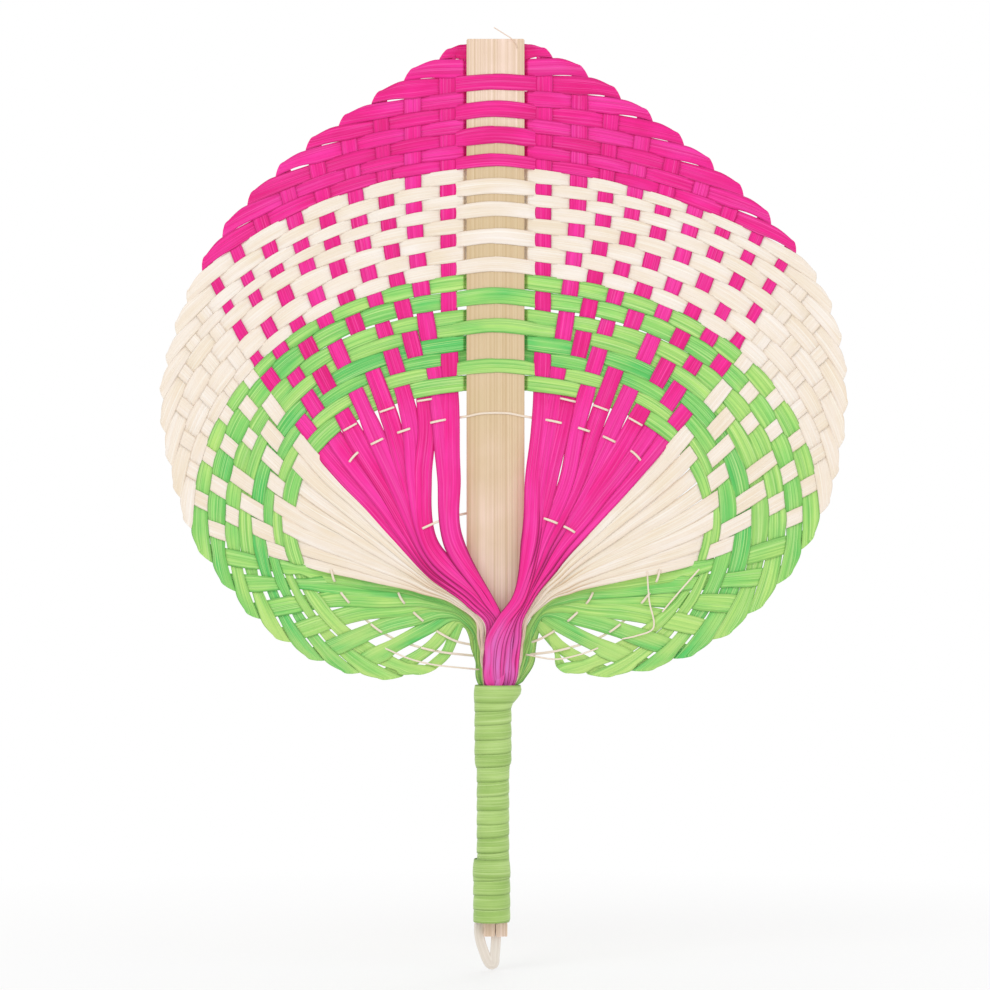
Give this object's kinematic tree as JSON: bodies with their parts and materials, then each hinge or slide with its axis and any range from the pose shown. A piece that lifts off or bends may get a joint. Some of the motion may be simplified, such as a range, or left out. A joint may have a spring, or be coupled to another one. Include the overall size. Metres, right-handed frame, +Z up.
{
  "type": "woven hand fan",
  "caption": "Flat heart-shaped hand fan woven from dyed and plain bamboo splints around a spine slat, with a splint-wrapped handle and a hanging loop.",
  "frame": {"origin": "middle of the wrapped grip, on the centre line of the spine slat", "axes": "+Z up along the handle towards the blade, the front of the blade faces -Y, +X to the right as seen from the front"},
  "size_m": [0.2739, 0.0155, 0.37],
  "materials": {
    "slat_bamboo": "satin, fine lengthwise grain",
    "splint_pink": "dyed splint, soft sheen",
    "splint_natural": "undyed splint, soft sheen",
    "splint_green": "dyed splint, soft sheen",
    "splint_wrap": "dyed splint, soft sheen",
    "cane_thread": "plain split cane",
    "cane_loop": "plain split cane"
  },
  "bodies": {
    "root": {"spine_slat": "slat_bamboo", "strip_pink_1": "splint_pink", "strip_pink_2": "splint_pink", "strip_pink_3": "splint_pink", "strip_pink_4": "splint_pink", "strip_pink_5": "splint_pink", "strip_pink_6": "splint_pink", "strip_pink_7": "splint_pink", "strip_pink_8": "splint_pink", "strip_pink_9": "splint_pink", "strip_natural_1": "splint_natural", "strip_natural_2": "splint_natural", "strip_natural_3": "splint_natural", "strip_natural_4": "splint_natural", "strip_natural_5": "splint_natural", "strip_natural_6": "splint_natural", "strip_natural_7": "splint_natural", "strip_natural_8": "splint_natural", "strip_green_1": "splint_green", "strip_green_2": "splint_green", "strip_green_3": "splint_green", "strip_green_4": "splint_green", "strip_green_5": "splint_green", "strip_green_6": "splint_green", "strip_green_7": "splint_green", "twining_thread_outer": "cane_thread", "twining_thread_inner": "cane_thread", "handle_wrap": "splint_wrap", "end_binding": "splint_wrap", "hanging_loop": "cane_loop"}
  },
  "joints": []
}
